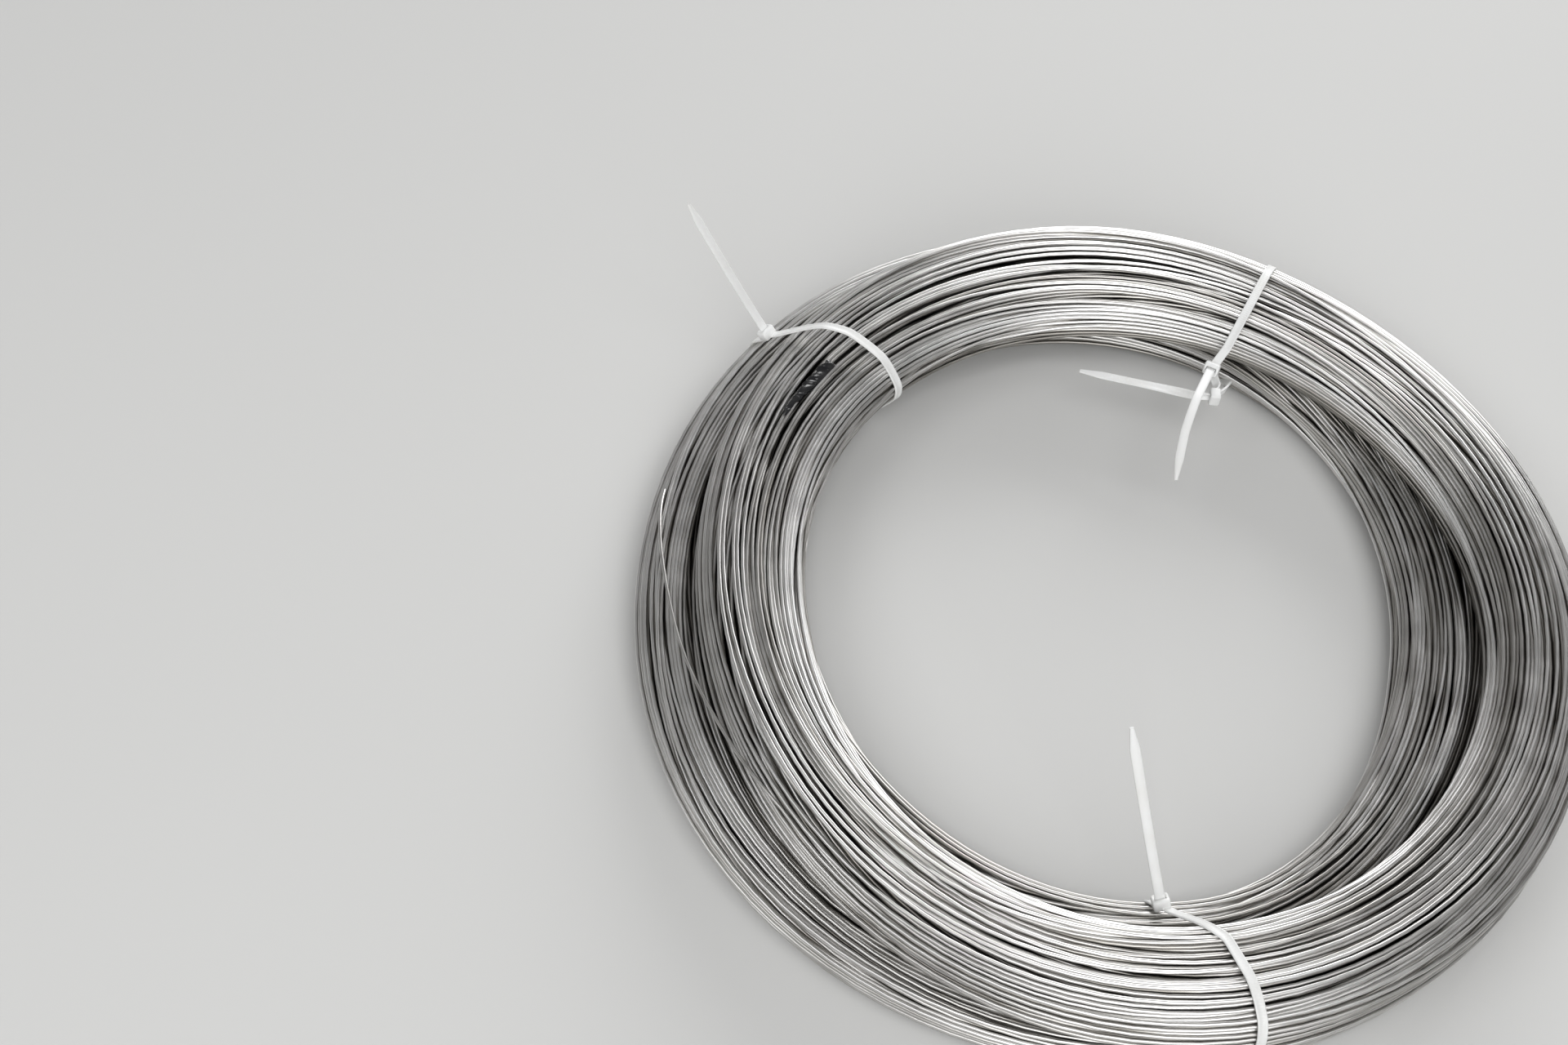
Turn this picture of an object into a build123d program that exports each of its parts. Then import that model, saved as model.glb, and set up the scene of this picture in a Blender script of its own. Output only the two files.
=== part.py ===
from build123d import *
from math import acos, asin, cos, degrees, pi, radians, sin
import os

# A tied coil of nickel alloy wire, lying flat. Millimetres, +Z up, origin on the floor at the coil's axis.

# Wire and coil
turn_pitch = 2.1  # from one turn to the next on the ends
outer_radius = 241.0
bore_radius = 153.0
coil_height = 57.0
top_corner_radius = 26.0
bottom_corner_radius = 14.0
turn_relief = 0.5  # depth of the valley between two turns on the top
floor_gap_width = 0.8  # mouth of the gap between two turns on the underside
floor_gap_depth = 0.4

# The bundle is wide and low, with a narrower crown on it. Between the ties the crown leans over, so a low ledge
# shows beside it: towards the bore at the right, and towards the outside at the left.
bore_lean_azimuth = -8.0
bore_lean_shift = 40.0  # of the axis that the crown's side is turned about
outer_lean_azimuth = -172.0
outer_lean_shift = 70.0
ledge_width = 35.0  # at its widest, up to the crown's top edge
crown_side_width = 12.0  # how far the crown's side slopes out over the ledge
ledge_wall_height = 30.0
ledge_foot_height = 38.0
ledge_base_height = 22.0  # the ledge's own layer of turns reaches down to here
cut_margin = 3.0  # how far a cut reaches past the wire

# Cable ties
strap_width = 4.8
strap_thickness = 1.3
head_width = 8.4
head_length = 7.0
head_height = 5.5
head_edge_radius = 0.8
turn_up_radius = 2.0  # bend of the strap where it rises into the head
tip_length = 12.0
tip_width = 1.8
clearance = 0.3  # between a tie or the tape and what it touches
head_lift = 0.5  # from the wire to the underside of a head
root_depth = 1.3  # how far the strap's root reaches into the head

upper_left_azimuth = 138.0
bottom_azimuth = -81.0
upper_right_azimuth = 65.0
single_head_angle = 53.0  # above the level, on the coil's rounded shoulder
single_tail_length = 82.0
long_head_angle = 33.0
short_head_angle = 9.0
long_tail_length = 52.0
long_tail_bend_radius = 8.0
long_tail_bend_angle = 84.0
short_tail_length = 32.0
short_tail_bend_radius = 60.0
short_tail_bend_angle = 30.0

# Tape
tape_azimuth = 149.5
tape_inset = 8.0  # from the middle of the coil's section towards the bore
tape_length = 44.0
tape_width = 5.2
tape_height = 2.2

section_middle = (outer_radius + bore_radius) / 2
half_width = (outer_radius - bore_radius) / 2
seat_depth = strap_thickness + 2 * clearance  # the tight straps sink this far into the wire
strap_inset = clearance + strap_thickness / 2  # centre of a sunk strap below the coil's surface
shoulder_across = half_width - top_corner_radius
shoulder_up = coil_height - top_corner_radius
tape_radius = section_middle - tape_inset


def top_point(along, depth):
    """A point on the top of the section, by its distance along the surface from the bore."""
    corner = top_corner_radius * pi / 2
    flat = 2 * shoulder_across
    radius = top_corner_radius - depth
    if along < corner:
        angle = pi - along / top_corner_radius
        return Vector(-shoulder_across + radius * cos(angle), 0, shoulder_up + radius * sin(angle))
    if along < corner + flat:
        return Vector(along - corner - shoulder_across, 0, coil_height - depth)
    angle = pi / 2 - (along - corner - flat) / top_corner_radius
    return Vector(shoulder_across + radius * cos(angle), 0, shoulder_up + radius * sin(angle))


def top_turns():
    """The turns on the top, one ridge for each, from the bore to the outside."""
    length = top_corner_radius * pi + 2 * shoulder_across
    count = round(length / turn_pitch)
    step = length / count
    points = [top_point(0, 0)]
    for n in range(count):
        if n > 0:
            points.append(top_point(n * step, turn_relief))
        points.append(top_point((n + 0.5) * step, 0))
    points.append(top_point(length, 0))
    return points


def floor_turns():
    """The underside from the outside inwards: flat where the turns lie on the floor, with gaps between."""
    end = half_width - bottom_corner_radius
    count = round(2 * end / turn_pitch)
    step = 2 * end / count
    points = [Vector(end, 0, 0)]
    for n in range(1, count):
        middle = end - n * step
        points.append(Vector(middle + floor_gap_width / 2, 0, 0))
        points.append(Vector(middle, 0, floor_gap_depth))
        points.append(Vector(middle - floor_gap_width / 2, 0, 0))
    points.append(Vector(-end, 0, 0))
    return points


def make_crown_cut(azimuth, shift, wall, side):
    """What is missing beside the leaning crown. The side is 1 at the outer wall and -1 at the bore."""
    edge = wall - side * (ledge_width - shift)
    lean = side * crown_side_width / (coil_height - ledge_foot_height)
    high, low = coil_height + cut_margin, ledge_base_height + cut_margin
    end = edge + side * (ledge_width + cut_margin)
    section = Polyline(
        (edge - lean * cut_margin, 0, high),
        (edge + lean * (coil_height - low), 0, low),
        (end, 0, low),
        (end, 0, high),
        close=True,
    )
    cut = revolve(Face(Wire(section.edges())), axis=Axis.Z)
    return Rot(0, 0, azimuth) * Pos(-side * shift, 0, 0) * cut


def make_ledges():
    """The layer of turns that shows as ledges, one ridge for each turn, up to the slope's foot on each side."""
    rise = ledge_foot_height - ledge_wall_height
    count = round(ledge_width / turn_pitch)
    ridges = [Vector(-half_width, 0, ledge_wall_height)]
    for n in range(2 * count):
        depth = 0 if n % 2 == 0 else turn_relief
        share = (n + 1) / (2 * count)
        ridges.append(Vector(share * ledge_width - half_width, 0, ledge_wall_height + share * rise - depth))
    outer = [Vector(-point.X, 0, point.Z) for point in reversed(ridges)]
    corners = [Vector(half_width, 0, ledge_base_height), Vector(-half_width, 0, ledge_base_height)]
    section = Polyline(*ridges, *outer, *corners, close=True)
    return revolve(Pos(section_middle, 0, 0) * Face(Wire(section.edges())), axis=Axis.Z)


def rounded_section(inset):
    """The coil's plain section, drawn in by the inset on every side."""
    left, right = -half_width + inset, half_width - inset
    corners = [(left, 0, inset), (right, 0, inset), (right, 0, coil_height - inset), (left, 0, coil_height - inset)]
    bottom, top = bottom_corner_radius - inset, top_corner_radius - inset
    return FilletPolyline(*corners, radius=[bottom, bottom, top, top], close=True)


def make_coil():
    low = bottom_corner_radius
    side = low * (1 - cos(pi / 4))
    top, bottom = top_turns(), floor_turns()
    edges = [
        *Polyline(*top).edges(),
        Line(top[-1], (half_width, 0, low)),
        ThreePointArc((half_width, 0, low), (half_width - side, 0, side), bottom[0]),
        *Polyline(*bottom).edges(),
        ThreePointArc(bottom[-1], (side - half_width, 0, side), (-half_width, 0, low)),
        Line((-half_width, 0, low), top[0]),
    ]
    section = Pos(section_middle, 0, 0) * Face(Wire(edges))
    coil = revolve(section, axis=Axis.Z)
    coil -= make_crown_cut(bore_lean_azimuth, bore_lean_shift, bore_radius, -1)
    coil -= make_crown_cut(outer_lean_azimuth, outer_lean_shift, outer_radius, 1)
    coil += make_ledges()

    # each tie has drawn the wire in along its strap
    half_angle = degrees(asin((strap_width / 2 + clearance) / (bore_radius - clearance)))
    frame = Face(rounded_section(-2 * seat_depth).wire())
    core = Face(rounded_section(seat_depth).wire())
    seat_section = Pos(section_middle, 0, 0) * (frame - core)
    seat = revolve(seat_section, axis=Axis.Z, revolution_arc=2 * half_angle)
    for azimuth in (upper_left_azimuth, bottom_azimuth, upper_right_azimuth):
        coil -= Rot(0, 0, azimuth - half_angle) * seat
    return coil


def shoulder_plane(angle, height):
    """Level with the surface at this angle round the head's shoulder: X along the strap, Z away from the wire."""
    across, up = cos(radians(angle)), sin(radians(angle))
    distance = top_corner_radius + height
    origin = Vector(shoulder_across + distance * across, 0, shoulder_up + distance * up)
    return Plane(origin=origin, x_dir=(-up, 0, across), z_dir=(across, 0, up))


def make_head(angle):
    """A tie's head on the shoulder, with the slot that a strap passes through."""
    height = head_lift + head_height / 2
    head = Box(head_length, head_width, head_height)
    head = fillet(head.edges().filter_by(Axis.Z) + head.edges().group_by(Axis.Z)[-1], head_edge_radius)
    head -= Box(strap_thickness + 2 * clearance, strap_width + 2 * clearance, 2 * head_height)
    return shoulder_plane(angle, height) * head


def sweep_strap(edges):
    """A flat strap along a path in the tie's plane."""
    path = Wire(edges)
    start = Plane(origin=path @ 0, x_dir=(0, 1, 0), z_dir=path % 0)
    return sweep(start * Rectangle(strap_width, strap_thickness), path=path)


def strap_bend(edges, radius, turn):
    """Adds a bend to the path, tangent to its end. A positive turn is to the left, seen along +Y."""
    last = edges[-1]
    plane = Plane(origin=last @ 1, x_dir=last % 1, z_dir=(0, -1, 0))
    edges.append(plane * JernArc((0, 0), (1, 0), radius, turn))


def strap_run(edges, length):
    last = edges[-1]
    edges.append(Line(last @ 1, (last @ 1) + (last % 1) * length))


def root_edge(angle):
    """The first bit of a strap, where it leaves its head and follows the shoulder up to the top."""
    distance = top_corner_radius + strap_inset
    start = radians(angle) + asin((head_length / 2 - root_depth) / distance)
    points = [
        Vector(shoulder_across + distance * cos(turn), 0, shoulder_up + distance * sin(turn))
        for turn in (start, (start + pi / 2) / 2, pi / 2)
    ]
    return ThreePointArc(*points)


def loop_edges(head_angle, end_angle):
    """The strap's path from its head over the top, round the section and out at the end angle's normal."""
    edges = [root_edge(head_angle)]
    wall = half_width - strap_inset
    strap_run(edges, shoulder_across + wall - top_corner_radius)
    strap_bend(edges, top_corner_radius, 90)
    low_radius = bottom_corner_radius - strap_inset
    strap_run(edges, shoulder_up + strap_inset - bottom_corner_radius)
    strap_bend(edges, low_radius, 90)
    strap_run(edges, 2 * (wall - low_radius))
    strap_bend(edges, low_radius, 90)
    strap_run(edges, shoulder_up - bottom_corner_radius)
    inner = top_corner_radius - strap_inset
    back = degrees(asin(turn_up_radius / (inner + turn_up_radius)))
    strap_bend(edges, inner, end_angle - back)
    strap_bend(edges, turn_up_radius, back - 90)
    strap_run(edges, head_lift + head_height)
    return edges


def end_plane(edges):
    """At the end of a path in the tie's plane: X on along the strap, Z through its thickness."""
    last = edges[-1]
    return Plane(origin=last @ 1, x_dir=last % 1, z_dir=(last % 1).cross(Vector(0, 1, 0)))


def make_tip(plane):
    """The tapered end of a strap, drawn on from the plane's origin along its X."""
    half, point = strap_width / 2, tip_width / 2
    outline = Polyline((0, -half), (tip_length, -point), (tip_length, point), (0, half), close=True)
    return plane * extrude(make_face(outline), strap_thickness / 2, both=True)


def place_tie(tie, azimuth, inwards):
    if inwards:
        tie = mirror(tie, about=Plane.YZ)
    return Rot(0, 0, azimuth) * Pos(section_middle, 0, 0) * tie


def make_single_tie():
    """One tie round the wire, its tail straight out through its own head."""
    edges = loop_edges(single_head_angle, single_head_angle)
    strap_run(edges, single_tail_length - tip_length)
    return sweep_strap(edges) + make_tip(end_plane(edges)) + make_head(single_head_angle)


def make_long_tie():
    """The tie round the wire at the upper right. Its tail goes through the short tie's head and turns aside."""
    edges = loop_edges(long_head_angle, short_head_angle)
    turned = JernArc((0, 0), (1, 0), long_tail_bend_radius, long_tail_bend_angle)
    straight = Line(turned @ 1, (turned @ 1) + (turned % 1) * (long_tail_length - tip_length))
    tail = Wire([turned, straight])
    start = Plane(origin=(0, 0, 0), x_dir=(0, 1, 0), z_dir=(1, 0, 0))
    flat = sweep(start * Rectangle(strap_width, strap_thickness), path=tail)
    flat += make_tip(Plane(origin=tail @ 1, x_dir=tail % 1, z_dir=(0, 0, 1)))
    return sweep_strap(edges) + make_head(long_head_angle) + end_plane(edges) * flat


def make_short_tie():
    """The bridging tie: its head holds the long tie's tail, and its own tail goes through the long tie's head."""
    proud, sunk = top_corner_radius + strap_inset, top_corner_radius - strap_inset
    start = radians(short_head_angle) + asin((head_length / 2 - root_depth) / proud)
    back = asin(turn_up_radius / (sunk + turn_up_radius))
    # two equal bends, one after the other, take the strap down into its seat below the long tie's head
    first, second = proud - turn_up_radius, sunk + turn_up_radius
    span = 2 * turn_up_radius
    shift = acos((first**2 + second**2 - span**2) / (2 * first * second))
    dip = pi - acos((first**2 + span**2 - second**2) / (2 * first * span))
    root = Vector(shoulder_across + proud * cos(start), 0, shoulder_up + proud * sin(start))
    heading = Vector(-sin(start), 0, cos(start))
    edges = [Line(root - heading * root_depth / 2, root)]
    strap_bend(edges, turn_up_radius, degrees(dip))
    strap_bend(edges, turn_up_radius, degrees(shift - dip))
    strap_bend(edges, sunk, long_head_angle - degrees(back + start + shift))
    strap_bend(edges, turn_up_radius, degrees(back) - 90)
    strap_run(edges, head_lift + head_height)
    strap_bend(edges, short_tail_bend_radius, -short_tail_bend_angle)
    strap_run(edges, short_tail_length - tip_length)
    return sweep_strap(edges) + make_tip(end_plane(edges)) + make_head(short_head_angle)


def make_tape():
    """The bit of tape round a few turns, drawn as the low mound that it makes on the coil's top."""
    half = tape_width / 2
    low = coil_height + clearance
    edge = low + tape_height / 3
    outline = Wire([
        Line((-half, 0, low), (half, 0, low)),
        Line((half, 0, low), (half, 0, edge)),
        ThreePointArc((half, 0, edge), (0, 0, low + tape_height), (-half, 0, edge)),
        Line((-half, 0, edge), (-half, 0, low)),
    ])
    span = degrees(tape_length / tape_radius)
    tape = revolve(Pos(tape_radius, 0, 0) * Face(outline), axis=Axis.Z, revolution_arc=span)
    return Rot(0, 0, tape_azimuth - span / 2) * tape


parts = {
    "wire_coil": make_coil(),
    "tie_upper_left": place_tie(make_single_tie(), upper_left_azimuth, False),
    "tie_bottom": place_tie(make_single_tie(), bottom_azimuth, True),
    "tie_upper_right_long": place_tie(make_long_tie(), upper_right_azimuth, True),
    "tie_upper_right_short": place_tie(make_short_tie(), upper_right_azimuth, True),
    "tape_wrap": make_tape(),
}
os.makedirs("parts", exist_ok=True)
for name, shape in parts.items():
    export_step(shape, f"parts/{name}.step")
    size = shape.bounding_box().size
    print(name, len(shape.solids()), round(shape.volume), [round(value, 1) for value in size])
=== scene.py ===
import math

import bpy
import numpy as np
from mathutils import Matrix, Vector


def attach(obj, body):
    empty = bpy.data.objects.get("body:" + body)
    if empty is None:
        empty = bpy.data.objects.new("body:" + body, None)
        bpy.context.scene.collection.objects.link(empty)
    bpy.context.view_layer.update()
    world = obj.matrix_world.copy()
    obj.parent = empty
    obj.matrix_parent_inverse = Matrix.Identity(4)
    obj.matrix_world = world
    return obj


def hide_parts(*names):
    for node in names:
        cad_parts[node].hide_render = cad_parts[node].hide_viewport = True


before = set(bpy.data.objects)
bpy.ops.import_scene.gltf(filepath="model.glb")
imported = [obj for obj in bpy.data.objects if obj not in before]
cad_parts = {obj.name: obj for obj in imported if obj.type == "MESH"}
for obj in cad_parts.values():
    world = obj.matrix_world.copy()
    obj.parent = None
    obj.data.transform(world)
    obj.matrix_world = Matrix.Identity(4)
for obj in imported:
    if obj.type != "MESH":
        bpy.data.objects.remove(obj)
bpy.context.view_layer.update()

# A coil of nickel alloy wire, tied and lying flat. The frame is in metres, +Z up, with its origin on the
# floor at the coil's axis. Lengths in the dictionaries are millimetres, and angles are degrees round the axis
# from +X.

mm = 0.001


# Camera

camera = {
    "lens": 45.0,
    "sensor": 36.0,
    "place": (-166.7, -530.5, 881.0),
    "elevation": 56.54,  # of the line of sight, below the level
    "roll": 3.38,
    "reach": 20000,  # what is farther away isn't drawn
}


def makeCamera(values):
    # it looks along +Y, tilted down and then rolled round its line of sight
    data = bpy.data.cameras.new("cameraPhoto")
    data.lens = values["lens"]
    data.sensor_width = values["sensor"]
    data.clip_end = values["reach"] * mm
    eye = bpy.data.objects.new("cameraPhoto", data)
    bpy.context.scene.collection.objects.link(eye)
    tilt = Matrix.Rotation(math.radians(90 - values["elevation"]), 4, "X")
    roll = Matrix.Rotation(math.radians(values["roll"]), 4, "Z")
    eye.matrix_world = Matrix.Translation(Vector(values["place"]) * mm) @ tilt @ roll
    bpy.context.scene.camera = eye


makeCamera(camera)
print("camera placed")


# Shared steps

sharpAngle = 80  # between two faces, above which their edge isn't drawn smooth


def makePiece(name, points, faces, material, marks=None):
    # one mesh object at the origin, from points in millimetres, with a value at each point for each mark
    mesh = bpy.data.meshes.new(name)
    mesh.from_pydata((points.reshape(-1, 3) * mm).tolist(), [], faces)
    # smooth all over, but for the edges of lids and other corners as sharp
    mesh.shade_smooth()
    mesh.set_sharp_from_angle(angle=math.radians(sharpAngle))
    for mark, amounts in (marks or {}).items():
        mesh.attributes.new(mark, "FLOAT", "POINT").data.foreach_set("value", amounts.ravel())
    mesh.materials.append(material)
    mesh.update()
    piece = bpy.data.objects.new(name, mesh)
    bpy.context.scene.collection.objects.link(piece)
    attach(piece, "root")
    return piece


def tubeFaces(rings, sides, closed=False):
    # quads from each ring of points to the next, and a lid on each end unless the tube closes on itself
    ring, row = np.arange(sides), np.arange(rings if closed else rings - 1)[:, None]
    near, far = row * sides, (row + 1) % rings * sides
    side = np.stack([near + ring, near + np.roll(ring, -1), far + np.roll(ring, -1), far + ring], axis=-1)
    lids = [] if closed else [ring[::-1].tolist(), (ring + (rings - 1) * sides).tolist()]
    return side.reshape(-1, 4).tolist() + lids


def around(points, azimuth, spread):
    # a value that changes round the coil: straight lines between its points, evened out over the spread
    fine = np.arange(720) / 2 - 180
    angles = np.array(sorted(points))
    line = np.interp(fine, angles, [points[angle] for angle in angles], period=360)
    wave = np.fft.rfft(line)
    wave *= np.exp(-0.5 * (np.arange(len(wave)) * np.radians(spread)) ** 2)
    return np.interp(azimuth, fine, np.fft.irfft(wave), period=360)


def ringPoints(azimuth, radius, height):
    # azimuth, radius and height to x, y, z
    angle = np.radians(azimuth)
    return np.stack([radius * np.cos(angle), radius * np.sin(angle), height], axis=-1)


def unit(vectors):
    # the same directions, one long
    return vectors / np.linalg.norm(vectors, axis=-1, keepdims=True)


def roundedSection(halfLength, halfWidth, power, sides):
    # superellipse: each coordinate is a cosine or sine raised to the power, so 1 is an ellipse and 0 a box
    angle = (np.arange(sides) + 0.5) * 2 * np.pi / sides
    across, along = np.cos(angle), np.sin(angle)
    return np.stack([halfLength * np.sign(across) * np.abs(across) ** power,
                     halfWidth * np.sign(along) * np.abs(along) ** power], axis=-1)


# Materials

# what every finish shares
cover = {
    "dustScale": 40.0,  # of its noise, to a metre
    "dustPatches": (0.42, 0.66),  # part of the noise's range that goes from bare to dusty
    "dustFacing": (0.1, 0.9),  # and of the upward part of the normal
    "grainScale": 900.0,
    "grainDepth": 0.1,
}


def addNode(tree, kind, **sockets):
    # a node, with values for its sockets: an underscore stands for a space in a socket's name
    node = tree.nodes.new(kind)
    for name, value in sockets.items():
        node.inputs[name.replace("_", " ")].default_value = value
    return node


def newGroup(name, inputs, output, kind):
    # an empty shader group, with a float socket for each input and one output
    tree = bpy.data.node_groups.new(name, "ShaderNodeTree")
    for socket, value in inputs.items():
        tree.interface.new_socket(socket, in_out="INPUT", socket_type="NodeSocketFloat").default_value = value
    tree.interface.new_socket(output, in_out="OUTPUT", socket_type=kind)
    return tree, tree.nodes.new("NodeGroupInput"), tree.nodes.new("NodeGroupOutput")


def rangeOf(tree, source, low, high, start=0.3, end=0.7):
    # a value taken from its usual range, start to end, into another one
    node = addNode(tree, "ShaderNodeMapRange", From_Min=start, From_Max=end, To_Min=low, To_Max=high)
    tree.links.new(source, node.inputs["Value"])
    return node.outputs["Result"]


def makeDustGroup(values):
    # dust that settles in patches, on what faces up: patches of noise times how far up the surface faces
    inputs = {"Amount": 0.3, "Scale": values["dustScale"]}
    tree, given, result = newGroup("settledDust", inputs, "Mask", "NodeSocketFloat")
    place, geometry = addNode(tree, "ShaderNodeTexCoord"), addNode(tree, "ShaderNodeNewGeometry")
    patches = addNode(tree, "ShaderNodeTexNoise", Detail=4.0, Roughness=0.6)
    facing = addNode(tree, "ShaderNodeSeparateXYZ")
    both, amount = addNode(tree, "ShaderNodeMath"), addNode(tree, "ShaderNodeMath")
    both.operation = amount.operation = "MULTIPLY"
    tree.links.new(place.outputs["Object"], patches.inputs["Vector"])
    tree.links.new(given.outputs["Scale"], patches.inputs["Scale"])
    tree.links.new(geometry.outputs["Normal"], facing.inputs["Vector"])
    tree.links.new(rangeOf(tree, patches.outputs["Fac"], 0, 1, *values["dustPatches"]), both.inputs[0])
    tree.links.new(rangeOf(tree, facing.outputs["Z"], 0, 1, *values["dustFacing"]), both.inputs[1])
    tree.links.new(both.outputs["Value"], amount.inputs[0])
    tree.links.new(given.outputs["Amount"], amount.inputs[1])
    tree.links.new(amount.outputs["Value"], result.inputs["Mask"])
    return tree


def makeGrainGroup(values):
    # fine unevenness of a surface, as its normal: a bump whose height is noise
    inputs = {"Strength": 0.2, "Scale": values["grainScale"]}
    tree, given, result = newGroup("fineGrain", inputs, "Normal", "NodeSocketVector")
    place = addNode(tree, "ShaderNodeTexCoord")
    grain = addNode(tree, "ShaderNodeTexNoise", Detail=3.0)
    bump = addNode(tree, "ShaderNodeBump", Distance=values["grainDepth"] * mm)
    tree.links.new(place.outputs["Object"], grain.inputs["Vector"])
    tree.links.new(given.outputs["Scale"], grain.inputs["Scale"])
    tree.links.new(given.outputs["Strength"], bump.inputs["Strength"])
    tree.links.new(grain.outputs["Fac"], bump.inputs["Height"])
    tree.links.new(bump.outputs["Normal"], result.inputs["Normal"])
    return tree


dustGroup, grainGroup = makeDustGroup(cover), makeGrainGroup(cover)


def useGroup(tree, group, **sockets):
    # a group placed in a material, with values for its sockets
    node = tree.nodes.new("ShaderNodeGroup")
    node.node_tree = group
    for name, value in sockets.items():
        node.inputs[name].default_value = value
    return node.outputs[0]


def mixColours(tree, share, one, other):
    # one colour, going over into another as the share rises: each is a socket or a value
    mix = tree.nodes.new("ShaderNodeMix")
    mix.data_type = "RGBA"
    tree.links.new(share, mix.inputs["Factor"])
    for name, colour in (("A", one), ("B", other)):
        socket = next(each for each in mix.inputs if each.name == name and each.type == "RGBA")
        if isinstance(colour, bpy.types.NodeSocket):
            tree.links.new(colour, socket)
        else:
            socket.default_value = colour
    return next(each for each in mix.outputs if each.type == "RGBA")


def finishMaterial(name, values, makeColour):
    # what all materials share: blotches in the gloss, settled dust and a fine grain, over their own colour
    material = bpy.data.materials.new(name)
    material.use_nodes = True
    tree = material.node_tree
    shader = tree.nodes["Principled BSDF"]
    place = addNode(tree, "ShaderNodeTexCoord")
    blotch = addNode(tree, "ShaderNodeTexNoise", Scale=values["blotchScale"], Detail=3.0)
    tree.links.new(place.outputs["Object"], blotch.inputs["Vector"])
    colour = makeColour(tree, values, blotch.outputs["Fac"])
    dust = useGroup(tree, dustGroup, Amount=values["dust"])
    tree.links.new(mixColours(tree, dust, colour, values["dustColour"]), shader.inputs["Base Color"])
    tree.links.new(rangeOf(tree, blotch.outputs["Fac"], *values["roughness"]), shader.inputs["Roughness"])
    grain = useGroup(tree, grainGroup, Strength=values["grain"])
    tree.links.new(grain, shader.inputs["Normal"])
    for socket, value in values["constants"].items():
        shader.inputs[socket].default_value = value
    return material


wireFinish = {
    # the darkest colour, for tone near 0, is painted shade on turns deep in the coil
    "buriedShade": (0.07, 0.066, 0.06, 1),
    "dull": (0.36, 0.345, 0.32, 1),
    "plain": (0.75, 0.74, 0.725, 1),
    "bright": (0.93, 0.925, 0.915, 1),
    "dullAt": 0.3,  # tone, where the painted shade of the deepest turns is at 0 and bright at 1
    "plainAt": 0.58,
    "mottle": 0.05,  # how far the tone wanders along a wire
    "blotchScale": 70.0,
    "roughness": (0.3, 0.4),
    "dust": 0.08,
    "dustColour": (0.36, 0.345, 0.32, 1),
    "grain": 0.12,
    "constants": {"Metallic": 1.0},
}

nylonFinish = {
    "colour": (0.93, 0.94, 0.94, 1),
    "worn": (0.87, 0.87, 0.85, 1),
    "blotchScale": 45.0,
    "roughness": (0.3, 0.45),
    "dust": 0.1,
    "dustColour": (0.62, 0.61, 0.58, 1),
    "grain": 0.3,
    "constants": {"Subsurface Weight": 0.15, "Subsurface Radius": (0.003, 0.003, 0.003)},
}

tapeFinish = {
    "colour": (0.01, 0.01, 0.012, 1),
    "worn": (0.022, 0.022, 0.023, 1),
    "blotchScale": 160.0,
    "roughness": (0.12, 0.28),
    "dust": 0.04,
    "dustColour": (0.25, 0.24, 0.22, 1),
    "grain": 0.25,
    "constants": {"Coat Weight": 0.2},
}


def wireColour(tree, values, blotch):
    # a ramp from painted shade to bright, by each point's tone, with its painted shade, and a little mottling
    tone = addNode(tree, "ShaderNodeAttribute")
    tone.attribute_name = "tone"
    total = addNode(tree, "ShaderNodeMath")
    ramp = addNode(tree, "ShaderNodeValToRGB")
    ramp.color_ramp.elements[0].color = values["buriedShade"]
    ramp.color_ramp.elements[1].color = values["bright"]
    ramp.color_ramp.elements.new(values["dullAt"]).color = values["dull"]
    ramp.color_ramp.elements.new(values["plainAt"]).color = values["plain"]
    mottle = rangeOf(tree, blotch, -values["mottle"] / 2, values["mottle"] / 2)
    tree.links.new(tone.outputs["Fac"], total.inputs[0])
    tree.links.new(mottle, total.inputs[1])
    tree.links.new(total.outputs["Value"], ramp.inputs["Fac"])
    return ramp.outputs["Color"]


def wornColour(tree, values, blotch):
    # the finish's own colour, with blotches of its worn one
    return mixColours(tree, rangeOf(tree, blotch, 0, 1), values["colour"], values["worn"])


wireMetal = finishMaterial("drawnWire", wireFinish, wireColour)
nylon = finishMaterial("tieNylon", nylonFinish, wornColour)
vinyl = finishMaterial("tapeVinyl", tapeFinish, wornColour)
print("materials made")


# Wire turns

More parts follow.
